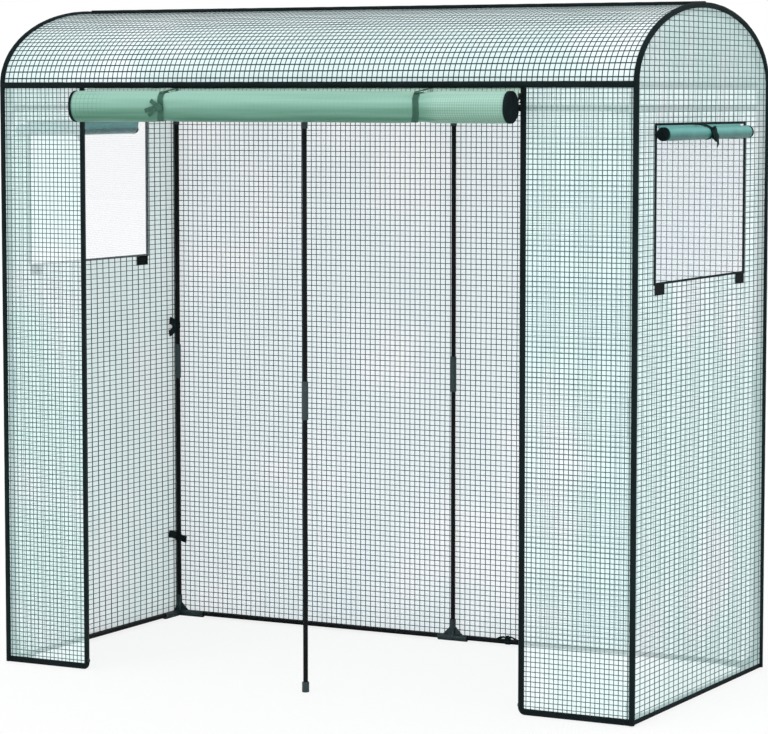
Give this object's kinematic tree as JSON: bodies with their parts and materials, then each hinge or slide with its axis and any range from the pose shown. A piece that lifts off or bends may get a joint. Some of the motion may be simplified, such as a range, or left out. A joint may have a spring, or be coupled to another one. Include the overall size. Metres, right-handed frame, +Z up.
{
  "type": "plastic greenhouse",
  "caption": "Walk-in tunnel greenhouse: a tube frame with moulded connectors under a clear grid film cover, with a rolled-up door, netted side windows and door zips.",
  "frame": {"origin": "on the ground, in the middle of the overall footprint, rolled door flap included", "axes": "+X along the ridge to the right, as seen from the doorway; the doorway faces -Y; +Z up"},
  "size_m": [1.8684, 0.9534, 1.72],
  "materials": {
    "steel_tube": "smooth black powder coat",
    "connector": "moulded dark slate-green plastic",
    "cover_film": "clear film with a grey-green reinforcing grid and dark fabric piping",
    "door_flap": "rolled film, pale green where it is layered",
    "window_flap": "rolled film, teal green where it is layered",
    "tie_cloth": "woven tape",
    "net": "fine insect net",
    "zip_metal": "black enamelled zip slider"
  },
  "bodies": {
    "greenhouse": {"post_lower_front_left": "steel_tube", "post_upper_front_left": "steel_tube", "post_sleeve_front_left": "connector", "eave_connector_front_left": "connector", "post_lower_front_middle": "steel_tube", "post_upper_front_middle": "steel_tube", "post_sleeve_front_middle": "connector", "eave_connector_front_middle": "connector", "post_lower_front_right": "steel_tube", "post_upper_front_right": "steel_tube", "post_sleeve_front_right": "connector", "eave_connector_front_right": "connector", "post_lower_back_left": "steel_tube", "post_upper_back_left": "steel_tube", "post_sleeve_back_left": "connector", "eave_connector_back_left": "connector", "post_lower_back_middle": "steel_tube", "post_upper_back_middle": "steel_tube", "post_sleeve_back_middle": "connector", "eave_connector_back_middle": "connector", "post_lower_back_right": "steel_tube", "post_upper_back_right": "steel_tube", "post_sleeve_back_right": "connector", "eave_connector_back_right": "connector", "hoop_left": "steel_tube", "hoop_middle": "steel_tube", "hoop_right": "steel_tube", "eave_rail_front_left": "steel_tube", "base_corner_front_left": "connector", "eave_rail_back_left": "steel_tube", "base_corner_back_left": "connector", "side_rail_left": "steel_tube", "base_tube_back_left": "steel_tube", "base_tube_side_left": "steel_tube", "side_panel_left": "cover_film", "front_panel_left": "cover_film", "door_tie_left": "tie_cloth", "window_roll_left": "window_flap", "window_net_left": "net", "eave_rail_front_right": "steel_tube", "base_corner_front_right": "connector", "eave_rail_back_right": "steel_tube", "base_corner_back_right": "connector", "side_rail_right": "steel_tube", "base_tube_back_right": "steel_tube", "base_tube_side_right": "steel_tube", "side_panel_right": "cover_film", "front_panel_right": "cover_film", "door_tie_right": "tie_cloth", "window_roll_right": "window_flap", "window_net_right": "net", "base_tee_back": "connector", "foot_front_middle": "connector", "roof_panel": "cover_film", "back_panel": "cover_film", "door_roll": "door_flap"},
    "slider_left": {"zip_slider_left": "zip_metal"},
    "pull_left": {"zip_pull_left": "zip_metal"},
    "slider_right": {"zip_slider_right": "zip_metal"},
    "pull_right": {"zip_pull_right": "zip_metal"}
  },
  "joints": [
    {"name": "zip_slide_left", "type": "slide", "parent": "greenhouse", "child": "slider_left", "axis": [0, 0, -1], "range_m": [0, 1.4535]},
    {"name": "zip_pull_swing_left", "type": "hinge", "parent": "slider_left", "child": "pull_left", "pos_m": [-0.641, -0.38485, 1.495], "axis": [-1, 0, 0], "range_deg": [0, 165]},
    {"name": "zip_slide_right", "type": "slide", "parent": "greenhouse", "child": "slider_right", "axis": [0, 0, -1], "range_m": [0, 1.4535]},
    {"name": "zip_pull_swing_right", "type": "hinge", "parent": "slider_right", "child": "pull_right", "pos_m": [0.597, -0.38485, 1.495], "axis": [-1, 0, 0], "range_deg": [0, 165]}
  ]
}
